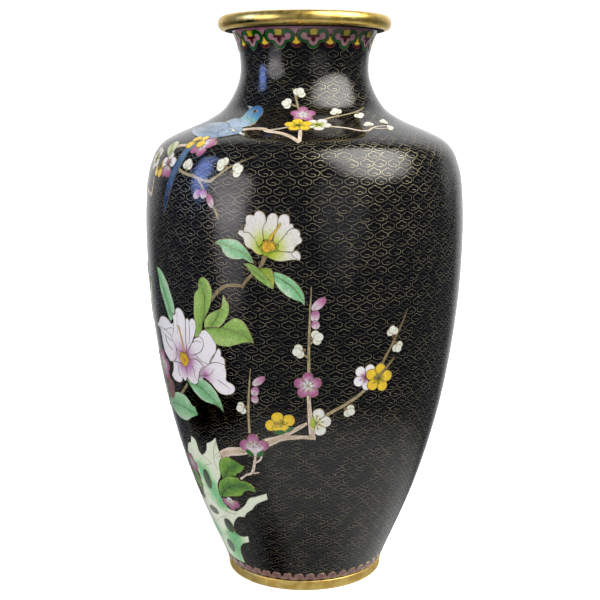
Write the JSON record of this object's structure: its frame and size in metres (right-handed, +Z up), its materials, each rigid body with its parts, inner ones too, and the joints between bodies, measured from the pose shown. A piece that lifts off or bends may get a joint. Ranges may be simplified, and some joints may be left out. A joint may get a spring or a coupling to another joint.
{
  "type": "vase",
  "caption": "Tall baluster vase in cloisonne enamel on copper, with a brass rim and foot ring and a flowering branch, bird and rock design on black.",
  "frame": {"origin": "centre of the underside of the foot ring", "axes": "+Z up along the vase's axis; the front of the design faces -Y, with the bird and peonies towards -X"},
  "size_m": [0.172, 0.172, 0.305],
  "materials": {
    "brass": "polished, lightly worn",
    "copper": "spun copper sheet, hidden by enamel",
    "black_enamel": "glossy, with gilt wire scrolls",
    "turquoise_enamel": "satin, speckled",
    "border_enamel": "glossy, patterned in green, mauve, red and yellow",
    "pink_enamel": "glossy, shaded to white",
    "yellow_enamel": "glossy, shaded to green",
    "white_enamel": "glossy, shaded to lime",
    "lilac_enamel": "glossy, shaded from white to purple",
    "leaf_enamel": "glossy, shaded",
    "mint_enamel": "glossy, shaded",
    "bark_enamel": "glossy, with wire bark marks",
    "blue_enamel": "glossy, shaded with feather wires",
    "rock_enamel": "glossy, shaded from cream to mint"
  },
  "bodies": {
    "root": {"copper_lower_body": "copper", "copper_upper_body": "copper", "copper_shoulder": "copper", "copper_neck": "copper", "copper_base_plate": "copper", "foot_ring": "brass", "rim_ring": "brass", "interior_enamel": "turquoise_enamel", "base_enamel": "turquoise_enamel", "foot_band": "border_enamel", "collar_band": "border_enamel", "bird_body": "blue_enamel", "bird_wing": "blue_enamel", "bird_tail": "blue_enamel", "yellow_blossom_neck": "yellow_enamel", "pink_blossom_neck": "pink_enamel", "white_blossom_neck": "white_enamel", "neck_branch": "bark_enamel", "left_yellow_blossom": "yellow_enamel", "white_peony": "white_enamel", "peony_folded_leaf": "leaf_enamel", "peony_left_leaf": "mint_enamel", "peony_right_leaf": "mint_enamel", "peony_stem": "bark_enamel", "tall_leaf": "leaf_enamel", "middle_leaf": "leaf_enamel", "broad_leaf": "leaf_enamel", "pink_peony": "lilac_enamel", "peony_upper_leaf": "mint_enamel", "peony_lower_leaf": "mint_enamel", "heart_leaf": "mint_enamel", "middle_pink_blossom": "pink_enamel", "middle_white_blossom": "white_enamel", "right_yellow_blossom": "yellow_enamel", "middle_branch": "bark_enamel", "left_pink_blossom_low": "pink_enamel", "left_yellow_blossom_low": "yellow_enamel", "lower_branch": "bark_enamel", "rock_leaves": "leaf_enamel", "scholar_rock": "rock_enamel", "black_ground_enamel": "black_enamel"}
  },
  "joints": []
}
